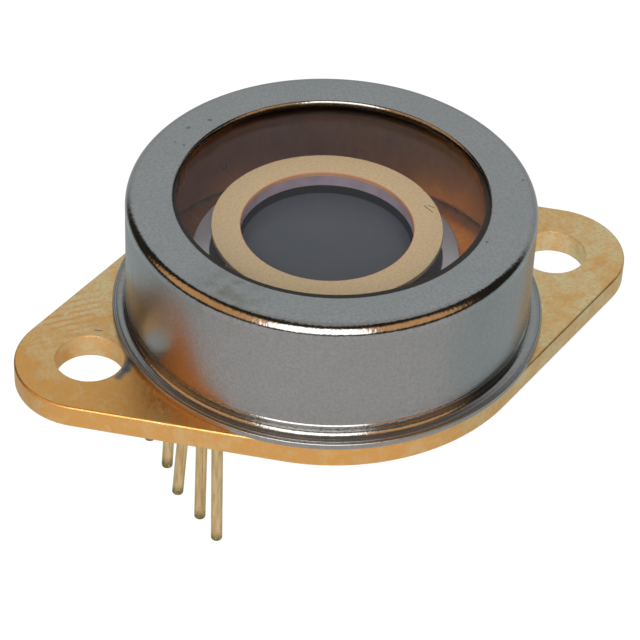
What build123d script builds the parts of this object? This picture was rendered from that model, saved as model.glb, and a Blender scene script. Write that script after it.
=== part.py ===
from build123d import *
import math
import os

# A large photodiode in a two-hole flanged header, under a windowed metal can.
# Millimetres. The origin is the centre of the header's seating face, +Z points
# out through the window, and the two mounting holes lie on X.

# Leads: one straight row at the -X side, each lead held by a glass seal. The
# row stands just clear of the ceramic disc's edge, and the can goes round it.
lead_count = 5
lead_spacing = 2.54
lead_diameter = 0.70
lead_length = 11.18
lead_tip_radius = 0.14
lead_straight = 2.2
post_height = 1.3
seal_diameter = 1.9
seal_recess = 0.05
row_gap = 0.87

# How far each lead's tip stands off its straight line, in X and Y, because
# the used part's leads are slightly bent. Lead 1 is the one at +Y.
tip_lean = {
    1: (-0.72, 0.06),
    2: (-0.46, 0.00),
    3: (-0.70, -0.10),
    4: (-0.14, -0.08),
    5: (0.16, 0.28),
}

# How much shorter than the nominal length each lead was cut.
lead_cut = {1: 0.13, 2: 0.00, 3: 0.11, 4: 0.16, 5: 0.24}

# Can: one drawn sheet with a window opening and a turned-out weld flange.
can_sheet = 0.38
can_wall_margin = 0.571
shoulder_radius = 0.65
foot_radius = 0.40
opening_rim_radius = 0.15
opening_edge_radius = 0.06
weld_flange_width = 0.81
weld_flange_edge_radius = 0.12
rim_width = 2.79

# Header: a flat plate with a round middle and two ears.
header_thickness = 1.5
header_inset = 0.2
header_edge_radius = 0.14
hole_diameter = 4.09
hole_gap = 0.08
ear_wall = 2.405

# Window and the dark solder-glass ring that holds it under the can's top.
window_thickness = 0.7
window_chamfer = 0.08
window_side_gap = 0.1
window_seal_thickness = 0.12
window_seal_overhang = 0.23
window_seal_shift = (0.12, 0.41)

# Detector: a round silicon chip on a ceramic disc, under a ceramic frame
# that carries a gold-plated ring. The whole stack sits slightly off centre.
stack_shift = (-0.19, 0.10)
chip_diameter = 11.6
chip_thickness = 0.45
chip_gap = 0.1
chip_rim_covered = 0.67
die_attach_thickness = 0.05
frame_wall = 0.7
frame_bore_gap = 0.07
frame_undercut = 0.5
frame_land = 0.75
ring_thickness = 0.27
ring_overhang = 0.28
ring_edge_radius = 0.05
carrier_thickness = 1.0
carrier_border = 1.42
carrier_edge_radius = 0.1
window_clearance = 1.44

# Thermoelectric cooler between the header and the ceramic disc.
solder_thickness = 0.1
plate_thickness = 0.6
strap_thickness = 0.1
strap_margin = 0.08
pellets_per_side = 6
pellet_side = 1.0
pellet_height = 1.07
cold_plate_inset = 0.2
cooler_gap = 1.44
end_pad_length = 1.0

# Pads on the ceramic disc, the thermistor, and the wires to the posts.
pad_thickness = 0.05
pad_length = 1.1
pad_width = 0.8
pad_gap = 0.05
strip_thickness = 0.15
strip_width = 0.8
thermistor_height = 0.5
thermistor_overlap = 0.25
case_bond_gap = 1.3
wire_diameter = 0.12
wire_rise = 0.75
wire_bend = 0.4
cooler_wire_diameter = 0.3
cooler_wire_rise = 0.9
cooler_wire_bend = 0.5
cathode_angle = 171
anode_angle = 190
thermistor_angles = (208, 224)
case_bond_angle = 228

# Radii of the detector stack, from the chip outwards.
chip_radius = chip_diameter / 2
ring_bore_radius = chip_radius - chip_rim_covered
frame_bore_radius = ring_bore_radius + frame_bore_gap
pocket_radius = chip_radius + chip_gap
frame_radius = pocket_radius + frame_wall
ring_radius = frame_radius + ring_overhang
carrier_radius = frame_radius + carrier_border

# The lead row outside the disc, then the can round the row and the header.
row_offset = carrier_radius + row_gap
row_end_y = lead_spacing * (lead_count - 1) / 2
corner_lead_radius = math.hypot(row_offset, row_end_y)
can_inner_radius = corner_lead_radius + seal_diameter / 2 + can_wall_margin
can_radius = can_inner_radius + can_sheet
opening_radius = can_radius - rim_width
seal_bore_radius = opening_radius - window_seal_overhang
weld_flange_radius = can_radius + weld_flange_width
header_radius = weld_flange_radius - header_inset
hole_radius = hole_diameter / 2
hole_x = weld_flange_radius + hole_gap + hole_radius
ear_radius = hole_radius + ear_wall

# Heights, from the header's seating face upwards.
header_top = header_thickness
hot_plate_z = header_top + solder_thickness
hot_strap_z = hot_plate_z + plate_thickness
pellet_z = hot_strap_z + strap_thickness
cold_strap_z = pellet_z + pellet_height
cold_plate_z = cold_strap_z + strap_thickness
carrier_solder_z = cold_plate_z + plate_thickness
carrier_z = carrier_solder_z + solder_thickness
carrier_top = carrier_z + carrier_thickness
chip_z = carrier_top + die_attach_thickness
pocket_top = chip_z + chip_thickness + frame_undercut
ring_z = pocket_top + frame_land
window_z = ring_z + ring_thickness + window_clearance
window_top = window_z + window_thickness
can_top = window_top + window_seal_thickness + can_sheet
can_height = can_top - header_top

# Window, sides of the cooler's two plates, and the pitch of its pellets.
window_radius = can_inner_radius - (shoulder_radius - can_sheet) - window_side_gap
hot_plate_side = 2 * (row_offset - seal_diameter / 2 - cooler_gap)
cold_plate_side = math.sqrt(2) * carrier_radius - 2 * cold_plate_inset
pellet_pitch = cold_plate_side / pellets_per_side
strap_width = pellet_side + 2 * strap_margin
pad_radius = frame_radius + pad_gap + pad_length / 2

lead_spots = [(-row_offset, row_end_y - lead_spacing * place) for place in range(lead_count)]
stack = Pos(stack_shift[0], stack_shift[1], 0)


def disc(radius, low, height):
    return Pos(0, 0, low) * Cylinder(
        radius, height, align=(Align.CENTER, Align.CENTER, Align.MIN)
    )


def tube(outer, inner, low, height):
    return disc(outer, low, height) - disc(inner, low, height)


def block(x, y, low, length, width, height):
    return Pos(x, y, low) * Box(
        length, width, height, align=(Align.CENTER, Align.CENTER, Align.MIN)
    )


def make_header():
    outline = make_hull(
        (
            Circle(header_radius)
            + Pos(-hole_x, 0) * Circle(ear_radius)
            + Pos(hole_x, 0) * Circle(ear_radius)
        ).edges()
    )
    plate = extrude(outline, header_thickness)
    ends = plate.faces().sort_by(Axis.Z)
    plate = fillet(ends[0].edges() + ends[-1].edges(), header_edge_radius)
    for side in (-1, 1):
        plate -= Pos(side * hole_x, 0, 0) * disc(hole_radius, 0, header_thickness)
    for x, y in lead_spots:
        plate -= Pos(x, y, 0) * disc(seal_diameter / 2, 0, header_thickness)
    return plate


def make_can():
    corners = [
        (can_inner_radius, 0, foot_radius + can_sheet),
        (weld_flange_radius, 0, 0),
        (weld_flange_radius, can_sheet, weld_flange_edge_radius),
        (can_radius, can_sheet, foot_radius),
        (can_radius, can_height, shoulder_radius),
        (opening_radius, can_height, opening_rim_radius),
        (opening_radius, can_height - can_sheet, opening_edge_radius),
        (can_inner_radius, can_height - can_sheet, shoulder_radius - can_sheet),
    ]
    profile = FilletPolyline(
        [(r, 0, header_top + z) for r, z, _ in corners],
        radius=[bend for _, _, bend in corners],
        close=True,
    )
    return revolve(make_face(profile), Axis.Z)


def make_window():
    glass = disc(window_radius, window_z, window_thickness)
    rims = glass.edges().filter_by(GeomType.CIRCLE)
    return chamfer(rims, window_chamfer)


def make_window_seal():
    ring = disc(window_radius, window_top, window_seal_thickness)
    x, y = window_seal_shift
    bore = disc(seal_bore_radius, window_top, window_seal_thickness)
    return ring - Pos(x, y, 0) * bore


def make_ring():
    ring = tube(ring_radius, ring_bore_radius, ring_z, ring_thickness)
    top_edges = ring.edges().group_by(Axis.Z)[-1]
    return stack * fillet(top_edges, ring_edge_radius)


def make_frame():
    frame = disc(frame_radius, carrier_top, ring_z - carrier_top)
    frame -= disc(frame_bore_radius, carrier_top, ring_z - carrier_top)
    frame -= disc(pocket_radius, carrier_top, pocket_top - carrier_top)
    return stack * frame


def make_carrier():
    plate = disc(carrier_radius, carrier_z, carrier_thickness)
    rims = plate.edges().filter_by(GeomType.CIRCLE)
    return stack * fillet(rims, carrier_edge_radius)


def pellet_spot(number):
    """Centre of one pellet, counted back and forth along the rows."""
    row, place = divmod(number, pellets_per_side)
    if row % 2:
        place = pellets_per_side - 1 - place
    first = -pellet_pitch * (pellets_per_side - 1) / 2
    return first + pellet_pitch * place, first + pellet_pitch * row


def make_pellets(kind):
    count = pellets_per_side**2
    spots = [pellet_spot(number) for number in range(kind, count, 2)]
    pellets = [
        block(x, y, pellet_z, pellet_side, pellet_side, pellet_height)
        for x, y in spots
    ]
    return stack * Compound(children=pellets)


def strap_between(number, low):
    ax, ay = pellet_spot(number)
    bx, by = pellet_spot(number + 1)
    length = abs(bx - ax) + strap_width
    width = abs(by - ay) + strap_width
    return block((ax + bx) / 2, (ay + by) / 2, low, length, width, strap_thickness)


def end_pad_centre(number):
    x, y = pellet_spot(number)
    return x - end_pad_length, y


def end_pad(number):
    """Hot-side strap of the first or last pellet, which runs out to a wire."""
    x, y = pellet_spot(number)
    length = strap_width + end_pad_length
    middle = x - end_pad_length / 2
    return block(middle, y, hot_strap_z, length, strap_width, strap_thickness)


def make_straps(first, low):
    last = pellets_per_side**2 - 1
    straps = [strap_between(number, low) for number in range(first, last, 2)]
    if first:
        straps += [end_pad(0), end_pad(last)]
    return stack * Compound(children=straps)


def ceramic_plate(side, low):
    return stack * block(0, 0, low, side, side, plate_thickness)


def on_carrier(angle, radius, low, length, width, height):
    """A block on the ceramic disc, turned to face the stack's centre."""
    return stack * Rot(0, 0, angle) * block(radius, 0, low, length, width, height)


def pad(angle):
    return on_carrier(angle, pad_radius, carrier_top, pad_length, pad_width, pad_thickness)


def pad_top(angle):
    turn = math.radians(angle)
    x = stack_shift[0] + pad_radius * math.cos(turn)
    y = stack_shift[1] + pad_radius * math.sin(turn)
    return x, y, carrier_top + pad_thickness


def make_pads():
    return Compound(children=[pad(a) for a in (anode_angle, cathode_angle, *thermistor_angles)])


def make_anode_strip():
    low = carrier_top + pad_thickness
    band = tube(frame_radius + strip_thickness, frame_radius, low, ring_z - low)
    reach = frame_radius + ring_overhang
    window = Rot(0, 0, anode_angle) * block(
        reach / 2, 0, low, reach + ring_overhang, strip_width, ring_z - low
    )
    return stack * (band & window)


def make_thermistor():
    """A small bead block that bridges its two pads."""
    (ax, ay, low), (bx, by, _) = (pad_top(angle) for angle in thermistor_angles)
    apart = math.hypot(bx - ax, by - ay)
    length = apart - pad_width + 2 * thermistor_overlap
    turn = math.degrees(math.atan2(by - ay, bx - ax))
    body = block(0, 0, 0, length, pad_width, thermistor_height)
    return Pos((ax + bx) / 2, (ay + by) / 2, low) * Rot(0, 0, turn) * body


def bond(start, end, rise, bend, diameter):
    """A round wire that leaves both of its ends straight up."""
    top = max(start[2], end[2]) + rise
    route = FilletPolyline(
        start, (start[0], start[1], top), (end[0], end[1], top), end, radius=bend
    )
    section = Plane(origin=route @ 0, z_dir=route % 0) * Circle(diameter / 2)
    return sweep(section, path=route)


def post_top(number):
    x, y = lead_spots[number - 1]
    return x, y, header_top + post_height


def pad_wire(angle, number):
    return bond(pad_top(angle), post_top(number), wire_rise, wire_bend, wire_diameter)


def case_wire():
    """The thermistor's return, bonded straight to the header's top."""
    turn = math.radians(case_bond_angle)
    reach = carrier_radius + case_bond_gap
    x = stack_shift[0] + reach * math.cos(turn)
    y = stack_shift[1] + reach * math.sin(turn)
    landing = (x, y, header_top)
    return bond(pad_top(thermistor_angles[1]), landing, wire_rise, wire_bend, wire_diameter)


def cooler_wire(pellet, number):
    x, y = end_pad_centre(pellet)
    start = (x + stack_shift[0], y + stack_shift[1], hot_strap_z + strap_thickness)
    return bond(
        start, post_top(number), cooler_wire_rise, cooler_wire_bend, cooler_wire_diameter
    )


def make_lead(number):
    """A straight post through the seal, then a leaning shank with a blunt tip."""
    x, y = lead_spots[number - 1]
    radius = lead_diameter / 2
    length = lead_length - lead_cut.get(number, 0)
    lean = Vector(*tip_lean.get(number, (0, 0)), lead_straight - length)
    tilt = lean.get_angle(Vector(0, 0, -1))
    sine, cosine = math.sin(math.radians(tilt)), math.cos(math.radians(tilt))
    lift = lead_tip_radius * (1 - cosine) + (radius - lead_tip_radius) * sine
    shank_length = (length - lead_straight - lift) / cosine
    straight = disc(radius, -lead_straight, lead_straight + header_top + post_height)
    shank = disc(radius, 0, shank_length)
    tip_edge = shank.faces().sort_by(Axis.Z)[-1].edges()
    shank = fillet(tip_edge, lead_tip_radius)
    bend = Pos(0, 0, -lead_straight)
    shank = bend * Plane(origin=(0, 0, 0), z_dir=lean).location * shank
    if tilt > 0:
        shank += bend * Sphere(radius)
    return Pos(x, y, 0) * (straight + shank)


def make_seal(number):
    x, y = lead_spots[number - 1]
    height = header_thickness - 2 * seal_recess
    return Pos(x, y, 0) * tube(seal_diameter / 2, lead_diameter / 2, seal_recess, height)


def build():
    last_pellet = pellets_per_side**2 - 1
    parts = {
        "header": make_header(),
        "can": make_can(),
        "window": make_window(),
        "window_seal": make_window_seal(),
        "aperture_ring": make_ring(),
        "ceramic_frame": make_frame(),
        "photodiode_chip": stack * disc(chip_radius, chip_z, chip_thickness),
        "die_attach": stack * disc(chip_radius, carrier_top, die_attach_thickness),
        "chip_carrier": make_carrier(),
        "carrier_solder": stack
        * block(0, 0, carrier_solder_z, cold_plate_side, cold_plate_side, solder_thickness),
        "cooler_cold_plate": ceramic_plate(cold_plate_side, cold_plate_z),
        "cooler_cold_straps": make_straps(0, cold_strap_z),
        "cooler_pellets_n": make_pellets(0),
        "cooler_pellets_p": make_pellets(1),
        "cooler_hot_straps": make_straps(1, hot_strap_z),
        "cooler_hot_plate": ceramic_plate(hot_plate_side, hot_plate_z),
        "header_solder": stack
        * block(0, 0, header_top, hot_plate_side, hot_plate_side, solder_thickness),
        "carrier_pads": make_pads(),
        "anode_strip": make_anode_strip(),
        "thermistor": make_thermistor(),
        "cathode_wire": pad_wire(cathode_angle, 2),
        "anode_wire": pad_wire(anode_angle, 3),
        "thermistor_wire": pad_wire(thermistor_angles[0], 4),
        "thermistor_case_wire": case_wire(),
        "cooler_wire_1": cooler_wire(last_pellet, 1),
        "cooler_wire_2": cooler_wire(0, 5),
    }
    for number in range(1, len(lead_spots) + 1):
        parts[f"lead_{number:02d}"] = make_lead(number)
        parts[f"lead_seal_{number:02d}"] = make_seal(number)
    return parts


os.makedirs("parts", exist_ok=True)
for name, solid in build().items():
    export_step(solid, f"parts/{name}.step")
print("hole spacing", round(2 * hole_x, 3), "can diameter", round(2 * can_radius, 3))
print("weld flange", round(2 * weld_flange_radius, 3), "carrier", round(2 * carrier_radius, 3))
print("ring top", round(ring_z + ring_thickness, 3), "can top", round(can_top, 3))
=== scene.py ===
import math

import bmesh
import bpy
from mathutils import Matrix, Vector


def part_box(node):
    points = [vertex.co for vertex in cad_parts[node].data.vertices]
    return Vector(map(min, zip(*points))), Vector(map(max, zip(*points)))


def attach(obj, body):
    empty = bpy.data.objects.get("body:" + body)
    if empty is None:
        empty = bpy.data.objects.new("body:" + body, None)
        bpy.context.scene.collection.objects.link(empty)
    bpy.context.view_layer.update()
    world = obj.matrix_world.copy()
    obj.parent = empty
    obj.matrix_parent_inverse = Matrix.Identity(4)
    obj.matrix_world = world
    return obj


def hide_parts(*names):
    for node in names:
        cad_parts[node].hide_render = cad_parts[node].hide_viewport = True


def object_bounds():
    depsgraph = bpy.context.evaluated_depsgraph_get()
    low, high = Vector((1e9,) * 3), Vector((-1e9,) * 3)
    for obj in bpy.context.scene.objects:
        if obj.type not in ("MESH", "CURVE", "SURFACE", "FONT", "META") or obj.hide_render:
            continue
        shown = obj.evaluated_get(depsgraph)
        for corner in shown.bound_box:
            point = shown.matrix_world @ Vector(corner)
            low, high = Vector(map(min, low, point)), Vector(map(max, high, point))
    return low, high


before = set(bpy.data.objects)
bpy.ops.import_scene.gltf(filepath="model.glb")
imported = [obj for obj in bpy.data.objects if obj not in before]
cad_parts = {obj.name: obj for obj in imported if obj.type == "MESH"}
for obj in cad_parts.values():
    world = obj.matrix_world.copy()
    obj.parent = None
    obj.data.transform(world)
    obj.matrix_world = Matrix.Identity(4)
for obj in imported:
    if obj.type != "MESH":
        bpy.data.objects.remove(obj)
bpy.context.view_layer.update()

MM = 0.001

# Camera of the photograph: angles in degrees, lengths in metres, and the lens and
# the sensor in millimetres.
CAMERA_AZIMUTH = -23.364
CAMERA_ELEVATION = 40.227
CAMERA_ROLL = 2.576
CAMERA_DISTANCE = 172.968 * MM
CAMERA_LENS = 163.36
CAMERA_SENSOR = 36
CAMERA_NEAREST = 5 * MM
CAMERA_AIM_HEIGHT = 5.5 * MM
CAMERA_AIM_RIGHT = -0.572 * MM
CAMERA_AIM_UP = -4.019 * MM

# Floor: just under the lead tips, wide enough for every view, and lit evenly.
FLOOR_SIDE = 4.0
FLOOR_GAP = 1.3 * MM
FLOOR_GREY = 0.2
FLOOR_GLOW = 0.93

# Room around the part: its colour from the nadir, 0, up to the zenith, 1.
ROOM = (
    (0.00, (0.48, 0.52, 0.52)),
    (0.40, (0.45, 0.50, 0.51)),
    (0.47, (0.44, 0.46, 0.46)),
    (0.55, (0.44, 0.45, 0.44)),
    (0.69, (0.53, 0.56, 0.575)),
    (0.76, (0.55, 0.58, 0.59)),
    (0.86, (0.44, 0.44, 0.43)),
    (1.00, (0.46, 0.46, 0.45)),
)

# Its panels: left and right edge, low and high edge, in degrees from the camera's
# side and from level, then the width of the soft edge and the colour.
BENCH = (-75, 75, -120, 0, 14, (0.62, 0.605, 0.60))
DARK_WALL = (-136, 118, -16, 84, 8, (0.03, 0.024, 0.018))
WARM_WALL = (-98, 72, 6, 54, 8, (0.94, 0.50, 0.21))
BRIGHT_WINDOW = (-31, 22, 0, 52, 4, (3.2, 3.05, 2.95))

# Can, in millimetres: the drawn sheet's section, as on the solid, with its small
# edge radii, the sizing step above the foot and the groove round the flange.
CAN_SHEET = 0.38
CAN_WALL_RADIUS = 12.138
CAN_OPENING_RADIUS = 9.348
CAN_SHOULDER_RADIUS = 0.65
CAN_FOOT_RADIUS = 0.40
CAN_STEP_FOOT_RADIUS = 0.32
CAN_RIM_RADIUS = 0.15
CAN_RIM_EDGE_RADIUS = 0.06
CAN_FLANGE_EDGE_RADIUS = 0.10
CAN_WELD_EDGE_RADIUS = 0.03
SIZING_STEP = 0.05
SIZING_LOW = 2.56
SIZING_HIGH = 2.66
SIZING_RADIUS = 0.1
GROOVE_RADIUS = 12.77
GROOVE_HALF_WIDTH = 0.06
GROOVE_DEPTH = 0.03
GROOVE_STEPS = 8
CAN_SEGMENTS = 384
CORNER_STEPS = 10

# Zones of the can's finish, in millimetres: what is satin, what the drawing tool
# left pitted and how strongly, the flat of the top, where the inside turns
# golden, and where the painted shadow under its top begins.
FLANGE_SATIN = 1.93
WALL_SATIN_LOW = 2.8
WALL_SATIN_HIGH = 9.0
SATIN_ROUGHNESS = 0.19
WORKED_LOW = 2.6
WORKED_HIGH = 9.2
PITS_AT_BENDS = 1.7
PITS_ON_TOP = 0.4
FLAT_TOP_FROM = 9.6
FLAT_TOP_TO = 11.4
INSIDE_GOLD_FROM = 0.0
INSIDE_GOLD_TO = 9.0
SHADOW_PAINT_LOW = 6.3
SHADOW_PAINT_HIGH = 7.1

# Leads and their glass, in millimetres.
LEAD_COUNT = 5
LEAD_RADIUS = 0.35
LEAD_TIP_DARK = -10.9
LEAD_TIP_FADE = 0.9
SEAL_MENISCUS = 0.16
SEAL_SEGMENTS = 64
MENISCUS_STEPS = 12

# Detector stack, in millimetres: its place off the can's axis, and the radii and
# the height where its finishes and its painted shade change.
STACK_SHIFT = (-0.19, 0.10)
CHIP_SHADE_FROM = 5.0
RING_COPPER = 5.16
POCKET_TOP = 6.17
POCKET_WALL = 6.0
FRAME_SIDE = 6.58
RING_SHADOW_EDGE = 7.0
WINDOW_IOR = 1.5
WINDOW_COATING = (0.10, 0.09, 0.14, 1.0)

# Marks of use, placed on the faces in millimetres: (start, end, width, strength).
RIM_SPECKS = (
    ((-4.29, 9.31, 9.83), (-4.20, 9.28, 9.83), 0.34, 0.8),
    ((-5.76, 8.96, 9.83), (-5.70, 8.99, 9.83), 0.34, 0.8),
    ((-6.97, 7.89, 9.83), (-6.97, 7.89, 9.83), 0.26, 0.7),
    ((-6.56, 7.43, 9.83), (-6.56, 7.43, 9.83), 0.28, 0.8),
    ((11.22, -2.36, 9.83), (11.22, -2.36, 9.83), 0.26, 0.8),
    ((6.79, -7.02, 9.83), (6.79, -7.02, 9.83), 0.30, 0.9),
)
WALL_SCRATCHES = (
    ((-12.12, 0.85, 7.1), (-12.10, 0.62, 5.4), 0.16, 0.7),
    ((-12.10, 0.62, 5.4), (-12.11, 0.74, 4.7), 0.12, 0.6),
)
RING_SCRATCHES = (
    ((5.98, -0.06, 7.19), (6.20, -0.80, 7.19), 0.14, 0.75),
    ((6.20, -0.12, 7.19), (6.50, -0.48, 7.19), 0.12, 0.7),
)
HEADER_MARKS = (
    ((-13.95, 2.35, 1.5), (-13.60, 2.15, 1.5), 0.22, 0.8),
    ((-12.95, -0.95, 1.5), (-13.35, -1.62, 1.5), 1.0, 0.95),
    ((-13.35, -1.62, 1.5), (-14.00, -2.12, 1.5), 0.8, 0.85),
)

# A stain on the can's top and a rubbed spot on the header: (centre, reach). The
# spot's stripes, the header's rounded edges, and the way in which it grows warmer.
RIM_STAIN = ((-8.6, -6.0, 9.83), 3.2)
RUB_SPOT = ((-15.6, 4.5, 1.5), 4.6)
RUB_SCALE = 0.62
EDGE_WEAR = 0.07
WARM_WAY = (-0.55, -0.83, 0)
WARM_FROM = 3.0
WARM_TO = 12.0


def camera_axes():
    """The camera's right, up and backward directions."""
    az = math.radians(CAMERA_AZIMUTH)
    el = math.radians(CAMERA_ELEVATION)
    roll = math.radians(CAMERA_ROLL)
    back = Vector((math.sin(az) * math.cos(el), -math.cos(az) * math.cos(el), math.sin(el)))
    level = Vector((math.cos(az), math.sin(az), 0))
    upright = back.cross(level)
    right = level * math.cos(roll) + upright * math.sin(roll)
    up = upright * math.cos(roll) - level * math.sin(roll)
    return right, up, back


def add_camera():
    right, up, back = camera_axes()
    aim = Vector((0, 0, CAMERA_AIM_HEIGHT)) + right * CAMERA_AIM_RIGHT + up * CAMERA_AIM_UP
    data = bpy.data.cameras.new("camera")
    data.lens = CAMERA_LENS
    data.sensor_width = CAMERA_SENSOR
    data.clip_start = CAMERA_NEAREST
    camera = bpy.data.objects.new("camera", data)
    bpy.context.collection.objects.link(camera)
    turn = Matrix((right, up, back)).transposed().to_4x4()
    camera.matrix_world = Matrix.Translation(aim + back * CAMERA_DISTANCE) @ turn
    bpy.context.scene.camera = camera


def put(tree, kind, inputs=None, **settings):
    """A new shader node. An input is a plain value or another node's socket."""
    node = tree.nodes.new("ShaderNode" + kind)
    for name, value in settings.items():
        setattr(node, name, value)
    for name, value in (inputs or {}).items():
        if isinstance(value, bpy.types.NodeSocket):
            tree.links.new(value, node.inputs[name])
        else:
            node.inputs[name].default_value = value
    return node


def maths(tree, operation, first, second=0.0, clamp=False):
    node = put(tree, "Math", {0: first, 1: second}, operation=operation, use_clamp=clamp)
    return node.outputs[0]


def dot(tree, socket, direction):
    node = put(tree, "VectorMath", {0: socket, 1: direction}, operation="DOT_PRODUCT")
    return node.outputs["Value"]


def spread(tree, value, low, high, to_low=0.0, to_high=1.0, smooth=True):
    """The value from low to high, taken to the span from to_low to to_high."""
    kind = "SMOOTHSTEP" if smooth else "LINEAR"
    inputs = {"Value": value, 1: low, 2: high, 3: to_low, 4: to_high}
    return put(tree, "MapRange", inputs, interpolation_type=kind).outputs[0]


def between(tree, value, low, high, soft):
    """1 where the value lies from low to high, with soft ends."""
    rise = spread(tree, value, low - soft, low + soft)
    fall = spread(tree, value, high - soft, high + soft, 1.0, 0.0)
    return maths(tree, "MULTIPLY", rise, fall)


def mix(tree, factor, first, second):
    """A colour from first to second; each is a colour or a socket."""
    node = tree.nodes.new("ShaderNodeMix")
    node.data_type = "RGBA"
    # This node's colours are its inputs 6 and 7 and its output 2.
    for place, value in ((0, factor), (6, first), (7, second)):
        if isinstance(value, bpy.types.NodeSocket):
            tree.links.new(value, node.inputs[place])
        elif place:
            node.inputs[place].default_value = (*value, 1)
        else:
            node.inputs[place].default_value = value
    return node.outputs[2]


def ramp(tree, factor, stops):
    """Colours along a factor; a stop is a place from 0 to 1 and a colour."""
    node = put(tree, "ValToRGB", {0: factor})
    elements = node.color_ramp.elements
    while len(elements) < len(stops):
        elements.new(0.5)
    for element, (place, color) in zip(elements, stops):
        element.position = place
        element.color = (*color, 1)
    return node.outputs[0]


def add_world():
    """A pale room, dark and warm on the camera's side, with a big bright window."""
    world = bpy.data.worlds.new("studio")
    bpy.context.scene.world = world
    world.use_nodes = True
    tree = world.node_tree
    az = math.radians(CAMERA_AZIMUTH)
    toward_camera = (math.sin(az), -math.cos(az), 0)
    to_the_right = (math.cos(az), math.sin(az), 0)
    way = put(tree, "TexCoord").outputs["Generated"]
    near = dot(tree, way, toward_camera)
    side = dot(tree, way, to_the_right)
    height = dot(tree, way, (0, 0, 1))
    elevation = maths(tree, "MULTIPLY", maths(tree, "ARCSINE", height), 180 / math.pi)
    azimuth = maths(tree, "MULTIPLY", maths(tree, "ARCTAN2", side, near), 180 / math.pi)
    color = ramp(tree, spread(tree, elevation, -90, 90, smooth=False), ROOM)
    for left, right, low, high, soft, panel in (BENCH, DARK_WALL, WARM_WALL, BRIGHT_WINDOW):
        across = between(tree, azimuth, left, right, soft)
        upward = between(tree, elevation, low, high, soft)
        color = mix(tree, maths(tree, "MULTIPLY", across, upward), color, panel)
    background = tree.nodes["Background"]
    tree.links.new(color, background.inputs["Color"])


def add_floor():
    """A white floor. Gloss doesn't see it, and mirrors the room's lower half instead."""
    low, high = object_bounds()
    bpy.ops.mesh.primitive_plane_add(size=FLOOR_SIDE, location=(0, 0, low[2] - FLOOR_GAP))
    floor = bpy.context.object
    floor.name = "floor"
    floor.visible_glossy = False
    mat = bpy.data.materials.new("floor_white")
    mat.use_nodes = True
    shader = mat.node_tree.nodes["Principled BSDF"]
    shader.inputs["Base Color"].default_value = (FLOOR_GREY, FLOOR_GREY, FLOOR_GREY, 1)
    shader.inputs["Roughness"].default_value = 1.0
    shader.inputs["Emission Color"].default_value = (1, 1, 1, 1)
    shader.inputs["Emission Strength"].default_value = FLOOR_GLOW
    floor.data.materials.append(mat)


class Surface:
    """A material under way: its tree, its shader and the point in millimetres."""

    def __init__(self, name, metallic=0.0, roughness=0.5):
        self.material = bpy.data.materials.new(name)
        self.material.use_nodes = True
        self.tree = self.material.node_tree
        self.shader = self.tree.nodes["Principled BSDF"]
        self.even("Metallic", metallic)
        self.even("Roughness", roughness)
        where = put(self.tree, "TexCoord").outputs["Object"]
        scaled = put(self.tree, "VectorMath", {0: where, "Scale": 1 / MM}, operation="SCALE")
        self.point = scaled.outputs[0]

    def even(self, socket, value):
        """Sets what is the same all over the surface."""
        self.shader.inputs[socket].default_value = value

    def color(self, socket):
        self.tree.links.new(socket, self.shader.inputs["Base Color"])

    def rough(self, socket):
        self.tree.links.new(socket, self.shader.inputs["Roughness"])

    def bump(self, height, depth, under=None):
        """Relief of a height socket, depth in millimetres at its full range."""
        inputs = {"Distance": depth * MM, "Height": height}
        if under:
            inputs["Normal"] = under
        normal = put(self.tree, "Bump", inputs).outputs[0]
        self.tree.links.new(normal, self.shader.inputs["Normal"])

    def noise(self, size, detail=3.0, roughness=0.5, stretch=(1, 1, 1)):
        """Noise whose features are about size millimetres, in the range 0 to 1."""
        place = put(self.tree, "VectorMath", {0: self.point, 1: stretch}, operation="MULTIPLY")
        inputs = {
            "Vector": place.outputs[0],
            "Scale": 1 / size,
            "Detail": detail,
            "Roughness": roughness,
        }
        return put(self.tree, "TexNoise", inputs).outputs["Fac"]

    def height(self):
        return put(self.tree, "SeparateXYZ", {0: self.point}).outputs["Z"]

    def off_axis(self, centre=(0, 0)):
        """Distance from the upright axis through centre."""
        offset = put(self.tree, "VectorMath", {0: self.point, 1: (*centre, 0)}, operation="SUBTRACT")
        flat = put(self.tree, "VectorMath", {0: offset.outputs[0], 1: (1, 1, 0)}, operation="MULTIPLY")
        length = put(self.tree, "VectorMath", {0: flat.outputs[0]}, operation="LENGTH")
        return length.outputs["Value"]

    def near_spot(self, centre, reach):
        """1 at the centre, falling to 0 at reach."""
        inputs = {0: self.point, 1: centre}
        away = put(self.tree, "VectorMath", inputs, operation="DISTANCE").outputs["Value"]
        return spread(self.tree, away, 0.0, reach, 1.0, 0.0)

    def near_line(self, start, end, width):
        """1 on the line from start to end, falling to 0 half the width away."""
        start, end = Vector(start), Vector(end)
        run = end - start
        tree = self.tree
        offset = put(tree, "VectorMath", {0: self.point, 1: start}, operation="SUBTRACT").outputs[0]
        if run.length > 0:
            along = maths(tree, "DIVIDE", dot(tree, offset, run), run.length_squared, clamp=True)
            reach = put(tree, "VectorMath", {0: run, "Scale": along}, operation="SCALE").outputs[0]
            offset = put(tree, "VectorMath", {0: offset, 1: reach}, operation="SUBTRACT").outputs[0]
        away = put(tree, "VectorMath", {0: offset}, operation="LENGTH").outputs["Value"]
        return spread(tree, away, 0.0, width / 2, 1.0, 0.0)

    def marked(self, base, marks, color):
        """The base colour with marks on it; each is (start, end, width, strength)."""
        for start, end, width, strength in marks:
            line = maths(self.tree, "MULTIPLY", self.near_line(start, end, width), strength)
            base = mix(self.tree, line, base, color)
        return base


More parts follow.
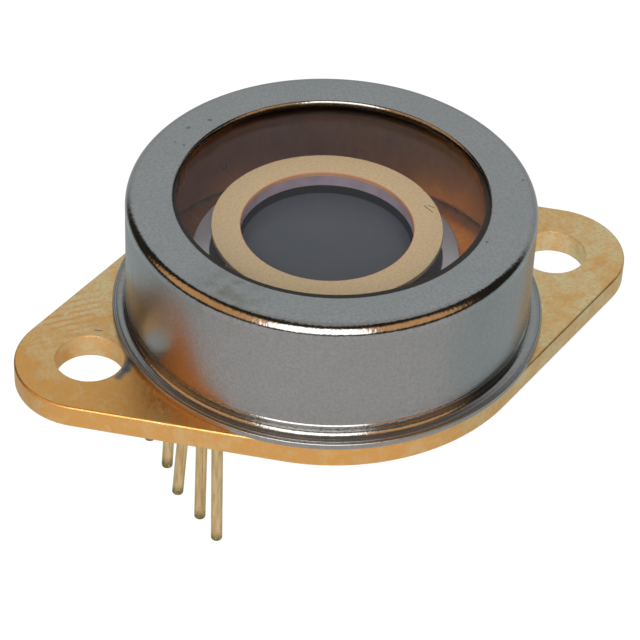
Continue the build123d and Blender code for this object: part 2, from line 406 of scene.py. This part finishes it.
def nickel():
    """Dull nickel plating: grained and faintly stained, burnished and pitted at its bends."""
    cool, warm, shade = (0.42, 0.43, 0.43), (0.46, 0.455, 0.45), (0.37, 0.375, 0.37)
    stained, specked, scratched = (0.25, 0.24, 0.19), (0.11, 0.11, 0.10), (0.15, 0.13, 0.11)
    s = Surface("nickel_plating", metallic=1.0)
    tree = s.tree
    cloud = s.noise(3.2, 4)
    grain = s.noise(0.17, 2)
    base = mix(tree, spread(tree, cloud, 0.35, 0.7), cool, warm)
    base = mix(tree, spread(tree, grain, 0.3, 0.75), base, shade)
    stain = maths(tree, "MULTIPLY", s.near_spot(*RIM_STAIN), spread(tree, s.noise(0.8, 4), 0.3, 0.8))
    base = mix(tree, stain, base, stained)
    base = s.marked(base, RIM_SPECKS, specked)
    base = s.marked(base, WALL_SCRATCHES, scratched)
    s.color(base)
    height = s.height()
    wall = between(tree, height, WALL_SATIN_LOW, WALL_SATIN_HIGH, 0.15)
    flange = spread(tree, height, FLANGE_SATIN, FLANGE_SATIN + 0.04, 1.0, 0.0)
    satin = maths(tree, "MULTIPLY", maths(tree, "ADD", wall, flange), SATIN_ROUGHNESS)
    s.rough(maths(tree, "ADD", spread(tree, cloud, 0.3, 0.7, 0.10, 0.16), satin))
    worked = maths(tree, "SUBTRACT", 1.0, between(tree, height, WORKED_LOW, WORKED_HIGH, 0.1))
    flat_top = between(tree, s.off_axis(), FLAT_TOP_FROM, FLAT_TOP_TO, 0.1)
    strength = spread(tree, flat_top, 0, 1, PITS_AT_BENDS, PITS_ON_TOP)
    pits = maths(tree, "MULTIPLY", s.noise(0.22, 1), maths(tree, "MULTIPLY", worked, strength))
    s.bump(maths(tree, "ADD", grain, pits), 0.006)
    return s.material


def can_inside():
    """The can's inner face: rosy, golden towards +X, with painted shadow under the top."""
    rosy, golden = (0.62, 0.43, 0.38), (0.80, 0.57, 0.27)
    streaked, painted_shadow = (0.44, 0.30, 0.24), (0.06, 0.045, 0.03)
    s = Surface("can_inside", metallic=1.0)
    tree = s.tree
    cloud = s.noise(2.4, 3, stretch=(1, 1, 0.4))
    to_the_side = spread(tree, dot(tree, s.point, (1, 0, 0)), INSIDE_GOLD_FROM, INSIDE_GOLD_TO)
    base = mix(tree, to_the_side, rosy, golden)
    base = mix(tree, spread(tree, cloud, 0.35, 0.7, 0.0, 0.6), base, streaked)
    # Painted shadow: from this height up, the inner face is darkened as the shade under the top.
    s.color(mix(tree, spread(tree, s.height(), SHADOW_PAINT_LOW, SHADOW_PAINT_HIGH), base, painted_shadow))
    s.rough(spread(tree, cloud, 0.3, 0.7, 0.26, 0.36))
    s.bump(s.noise(0.3, 2), 0.003)
    return s.material


def header_gold():
    """Gold plating on the rolled plate: khaki, clouded with orange, rubbed and marked."""
    khaki, orange, copper = (1.0, 0.80, 0.44), (1.0, 0.52, 0.15), (1.0, 0.44, 0.14)
    grained, bluish = (0.84, 0.56, 0.24), (0.15, 0.19, 0.23)
    s = Surface("header_gold", metallic=1.0)
    tree = s.tree
    cloud = s.noise(2.6, 5, 0.6)
    fine = s.noise(0.22, 3)
    warm_side = spread(tree, dot(tree, s.point, WARM_WAY), WARM_FROM, WARM_TO, 0.0, 0.62)
    blotch = spread(tree, s.noise(0.9, 4), 0.42, 0.62, 0.0, 0.35)
    clouds = maths(tree, "ADD", blotch, spread(tree, cloud, 0.42, 0.62, 0.0, 0.5))
    base = mix(tree, maths(tree, "ADD", warm_side, clouds, clamp=True), khaki, orange)
    stripes = put(tree, "TexWave", {
        "Vector": s.point,
        "Scale": RUB_SCALE,
        "Distortion": 1.6,
        "Detail": 2.0,
        "Detail Scale": 0.8,
    }, wave_type="BANDS", bands_direction="Y").outputs["Fac"]
    rubbed = maths(tree, "MULTIPLY", s.near_spot(*RUB_SPOT), spread(tree, stripes, 0.5, 0.85))
    rubbed = maths(tree, "MULTIPLY", rubbed, spread(tree, s.noise(1.1, 2), 0.44, 0.56))
    base = mix(tree, maths(tree, "MULTIPLY", rubbed, 0.85), base, copper)
    base = mix(tree, spread(tree, fine, 0.35, 0.75, 0.0, 0.5), base, grained)
    s.color(s.marked(base, HEADER_MARKS, bluish))
    s.rough(spread(tree, fine, 0.3, 0.7, 0.33, 0.46))
    grains = spread(tree, s.noise(0.12, 1), 0.66, 0.80, 0.0, 0.15)
    rounded = put(tree, "Bevel", {"Radius": EDGE_WEAR * MM}).outputs[0]
    s.bump(maths(tree, "ADD", fine, grains), 0.007, under=rounded)
    return s.material


def ring_gold():
    """Matte gold on the ring, coppery down its bore, with two small scratches."""
    pale, shade = (0.99, 0.80, 0.50), (0.88, 0.70, 0.43)
    copper, scratched = (1.0, 0.56, 0.32), (0.12, 0.10, 0.07)
    s = Surface("ring_gold", metallic=0.55)
    tree = s.tree
    fine = s.noise(0.16, 3)
    base = mix(tree, spread(tree, fine, 0.3, 0.75), pale, shade)
    bore = spread(tree, s.off_axis(STACK_SHIFT), RING_COPPER, RING_COPPER + 0.06, 1.0, 0.0)
    base = mix(tree, bore, base, copper)
    s.color(s.marked(base, RING_SCRATCHES, scratched))
    s.rough(spread(tree, fine, 0.3, 0.7, 0.44, 0.56))
    s.bump(fine, 0.004)
    return s.material


def lead_gold():
    """Gold on the leads, streaked lengthwise, dull and dark at the cut tips."""
    pale, deep = (0.95, 0.70, 0.37), (0.72, 0.50, 0.22)
    specked, dark = (0.45, 0.34, 0.16), (0.22, 0.18, 0.07)
    s = Surface("lead_gold", metallic=1.0)
    tree = s.tree
    streak = s.noise(0.22, 3, stretch=(1, 1, 0.12))
    speck = s.noise(0.16, 2)
    base = mix(tree, spread(tree, streak, 0.35, 0.7), pale, deep)
    base = mix(tree, spread(tree, speck, 0.6, 0.8, 0.0, 0.7), base, specked)
    tip = spread(tree, s.height(), LEAD_TIP_DARK, LEAD_TIP_DARK + LEAD_TIP_FADE, 1.0, 0.0)
    tip = maths(tree, "MULTIPLY", tip, spread(tree, speck, 0.2, 0.6, 0.4, 1.0))
    s.color(mix(tree, tip, base, dark))
    s.rough(spread(tree, streak, 0.3, 0.7, 0.22, 0.36))
    s.bump(streak, 0.006)
    return s.material


def frame_ceramic():
    """The frame's lilac ceramic, with painted shade in its pocket and down its outer side."""
    lilac, shade, painted_shade = (0.52, 0.46, 0.60), (0.42, 0.37, 0.49), (0.035, 0.032, 0.04)
    s = Surface("frame_ceramic")
    tree = s.tree
    base = mix(tree, spread(tree, s.noise(1.3, 4), 0.3, 0.7), lilac, shade)
    # Painted shade: the pocket under the bore and the outer side under the ring are coloured dark.
    low = spread(tree, s.height(), POCKET_TOP - 0.02, POCKET_TOP + 0.02, 1.0, 0.0)
    within = spread(tree, s.off_axis(STACK_SHIFT), POCKET_WALL, POCKET_WALL + 0.1, 1.0, 0.0)
    outside = spread(tree, s.off_axis(STACK_SHIFT), FRAME_SIDE - 0.02, FRAME_SIDE)
    dark = maths(tree, "ADD", maths(tree, "MULTIPLY", low, within), outside, clamp=True)
    s.color(mix(tree, dark, base, painted_shade))
    s.bump(s.noise(0.09, 2), 0.003)
    return s.material


def carrier_face():
    """The carrier's pale metallised ceramic, with a painted shadow round the frame, under the ring."""
    white, lilac, painted_ring_shadow = (1.0, 0.95, 1.0), (0.92, 0.87, 0.97), (0.035, 0.03, 0.035)
    s = Surface("carrier_face", metallic=0.5, roughness=0.34)
    tree = s.tree
    speck = s.noise(0.12, 3)
    base = mix(tree, spread(tree, speck, 0.3, 0.7), white, lilac)
    # Painted shadow: the carrier is coloured dark round the frame's foot, where the ring shades it.
    in_ring_shadow = spread(tree, s.off_axis(STACK_SHIFT), RING_SHADOW_EDGE - 0.08, RING_SHADOW_EDGE, 1.0, 0.0)
    s.color(mix(tree, in_ring_shadow, base, painted_ring_shadow))
    s.bump(speck, 0.004)
    return s.material


def silicon():
    """The chip's dark face under its coating, with painted shade round its edge under the frame's
    overhang.
    """
    slate, paler, painted_shade = (0.066, 0.084, 0.114), (0.072, 0.088, 0.118), (0.006, 0.006, 0.008)
    s = Surface("silicon")
    tree = s.tree
    speck = spread(tree, s.noise(1.1, 2), 0.3, 0.7)
    base = mix(tree, speck, slate, paler)
    # Painted shade: the chip is coloured dark towards its edge, under the frame's overhang.
    overhang_shade = spread(tree, s.off_axis(STACK_SHIFT), CHIP_SHADE_FROM, CHIP_SHADE_FROM + 0.12)
    s.color(mix(tree, overhang_shade, base, painted_shade))
    s.rough(spread(tree, speck, 0.0, 1.0, 0.31, 0.33))
    s.even("Specular IOR Level", 0.4)
    return s.material


def window_glass():
    """Clear glass with a coating that takes most of its reflections away."""
    clear, greenish = (1.0, 1.0, 1.0), (0.97, 0.98, 0.97)
    s = Surface("window_glass", roughness=0.0)
    s.even("Transmission Weight", 1.0)
    s.even("IOR", WINDOW_IOR)
    s.even("Specular Tint", WINDOW_COATING)
    s.color(mix(s.tree, s.noise(4.0, 2), clear, greenish))
    return s.material


def dull(name, color, shade, roughness, metallic=0.0):
    """A plain finish of two near colours in a fine grain."""
    s = Surface(name, metallic)
    speck = s.noise(0.12, 3)
    s.color(mix(s.tree, spread(s.tree, speck, 0.3, 0.7), color, shade))
    s.rough(spread(s.tree, speck, 0.3, 0.7, roughness - 0.06, roughness + 0.06))
    s.bump(speck, 0.004)
    return s.material


def round_corners(corners, steps):
    """A closed outline as points, from corners (x, z, radius) in order."""
    points = []
    count = len(corners)
    for place in range(count):
        before, here, after = (Vector(corners[(place + k) % count][:2]) for k in (-1, 0, 1))
        radius = corners[place][2]
        if radius == 0:
            points.append(here)
            continue
        back = (before - here).normalized()
        ahead = (after - here).normalized()
        half = back.angle(ahead) / 2
        centre = here + (back + ahead).normalized() * radius / math.sin(half)
        first = here + back * radius / math.tan(half) - centre
        last = here + ahead * radius / math.tan(half) - centre
        turn = first.angle(last)
        for step in range(steps + 1):
            share = step / steps
            a = math.sin((1 - share) * turn) / math.sin(turn)
            b = math.sin(share * turn) / math.sin(turn)
            points.append(centre + first * a + last * b)
    return points


def lathe(name, outline, segments, centre=(0, 0)):
    """A closed outline (r, z) in millimetres, turned about a vertical axis."""
    mesh = bpy.data.meshes.new(name)
    build = bmesh.new()
    rings = []
    for step in range(segments):
        turn = 2 * math.pi * step / segments
        cosine, sine = math.cos(turn), math.sin(turn)
        rings.append([
            build.verts.new(Vector((centre[0] + r * cosine, centre[1] + r * sine, z)) * MM)
            for r, z in outline
        ])
    for step in range(segments):
        here, there = rings[step], rings[(step + 1) % segments]
        for k in range(len(outline)):
            after = (k + 1) % len(outline)
            build.faces.new((here[k], there[k], there[after], here[after]))
    bmesh.ops.recalc_face_normals(build, faces=build.faces)
    build.to_mesh(mesh)
    build.free()
    mesh.shade_smooth()
    piece = bpy.data.objects.new(name, mesh)
    bpy.context.collection.objects.link(piece)
    return piece


def stands_for(piece, look, node):
    """Puts a made piece in the place of a CAD node, with a material."""
    piece.data.materials.append(look)
    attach(piece, "root")
    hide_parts(node)


def groove(top):
    """Corners of the shallow round groove in the flange's level face, going inwards."""
    turns = [math.pi * k / GROOVE_STEPS for k in range(GROOVE_STEPS + 1)]
    return [
        (GROOVE_RADIUS + GROOVE_HALF_WIDTH * math.cos(turn), top - GROOVE_DEPTH * math.sin(turn), 0)
        for turn in turns
    ]


def add_can(look, inside_look):
    """The can's shell, with its outside and its inside in two materials."""
    low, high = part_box("can")
    foot, top, flange = low[2] / MM, high[2] / MM, high[0] / MM
    flange_top = foot + CAN_SHEET
    inner = CAN_WALL_RADIUS - CAN_SHEET
    corners = [
        (inner, foot, CAN_FOOT_RADIUS + CAN_SHEET),
        (flange, foot, CAN_WELD_EDGE_RADIUS),
        (flange, flange_top, CAN_FLANGE_EDGE_RADIUS),
        *groove(flange_top),
        (CAN_WALL_RADIUS + SIZING_STEP, flange_top, CAN_STEP_FOOT_RADIUS),
        (CAN_WALL_RADIUS + SIZING_STEP, SIZING_LOW, SIZING_RADIUS),
        (CAN_WALL_RADIUS, SIZING_HIGH, SIZING_RADIUS),
        (CAN_WALL_RADIUS, top, CAN_SHOULDER_RADIUS),
        (CAN_OPENING_RADIUS, top, CAN_RIM_RADIUS),
        (CAN_OPENING_RADIUS, top - CAN_SHEET, CAN_RIM_EDGE_RADIUS),
        (inner, top - CAN_SHEET, CAN_SHOULDER_RADIUS - CAN_SHEET),
    ]
    can = lathe("can_shell", round_corners(corners, CORNER_STEPS), CAN_SEGMENTS)
    stands_for(can, look, "can")
    can.data.materials.append(inside_look)
    for face in can.data.polygons:
        r = math.hypot(face.center.x, face.center.y) / MM
        z = face.center.z / MM
        outside = r > CAN_WALL_RADIUS - CAN_SHEET / 2 or z > top - CAN_SHEET / 2
        face.material_index = 0 if outside else 1


def add_seals(look):
    """Glass round each lead, drawn up against the metal at both ends."""
    turns = [math.pi * k / MENISCUS_STEPS for k in range(MENISCUS_STEPS + 1)]
    for number in range(1, LEAD_COUNT + 1):
        low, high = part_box(f"lead_seal_{number:02d}")
        centre = ((low.x + high.x) / 2 / MM, (low.y + high.y) / 2 / MM)
        outer = (high.x - low.x) / 2 / MM
        foot, top = low.z / MM, high.z / MM
        middle, half = (outer + LEAD_RADIUS) / 2, (outer - LEAD_RADIUS) / 2
        under = [
            (middle - half * math.cos(turn), foot + SEAL_MENISCUS * math.sin(turn)) for turn in turns
        ]
        over = [
            (middle + half * math.cos(turn), top - SEAL_MENISCUS * math.sin(turn)) for turn in turns
        ]
        seal = lathe(f"lead_glass_{number:02d}", under + over, SEAL_SEGMENTS, centre)
        stands_for(seal, look, f"lead_seal_{number:02d}")


def dress_nodes():
    """Gives each CAD node its finish, by its own name or by a word in it."""
    looks = {
        "header": header_gold(),
        "window": window_glass(),
        "window_seal": dull("seal_glass_ring", (0.030, 0.025, 0.022), (0.020, 0.017, 0.015), 0.45),
        "aperture_ring": ring_gold(),
        "ceramic_frame": frame_ceramic(),
        "photodiode_chip": silicon(),
        "chip_carrier": carrier_face(),
        "thermistor": dull("thermistor_body", (0.05, 0.04, 0.035), (0.03, 0.025, 0.022), 0.4),
    }
    families = {
        "plate": dull("plate_ceramic", (0.82, 0.81, 0.79), (0.76, 0.75, 0.73), 0.55),
        "straps": dull("strap_copper", (0.85, 0.45, 0.30), (0.75, 0.38, 0.25), 0.3, 1.0),
        "pellets": dull("telluride", (0.30, 0.30, 0.32), (0.22, 0.22, 0.24), 0.4, 1.0),
        "solder": dull("solder", (0.55, 0.55, 0.54), (0.46, 0.46, 0.46), 0.35, 1.0),
        "attach": dull("die_bond", (0.42, 0.41, 0.40), (0.34, 0.33, 0.33), 0.5, 1.0),
        "wire": dull("wire_gold", (1.0, 0.77, 0.34), (0.92, 0.66, 0.28), 0.2, 1.0),
        "pads": dull("pad_gold", (1.0, 0.76, 0.38), (0.90, 0.66, 0.32), 0.3, 1.0),
        "strip": dull("strip_gold", (1.0, 0.76, 0.38), (0.90, 0.66, 0.32), 0.25, 1.0),
        "lead_0": lead_gold(),
    }
    for name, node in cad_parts.items():
        kin = [look for word, look in families.items() if word in name]
        if name in looks:
            look = looks[name]
        elif kin:
            look = kin[0]
        else:
            look = looks["header"]
        for slot in node.material_slots:
            slot.material = look
    # The window casts no shadow, so that the detector under it is lit.
    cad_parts["window"].visible_shadow = False


add_camera()
add_world()
add_floor()
bpy.context.scene.view_settings.view_transform = "Standard"

dress_nodes()
add_can(nickel(), can_inside())
add_seals(dull("lead_glass", (0.05, 0.07, 0.06), (0.03, 0.045, 0.04), 0.12))
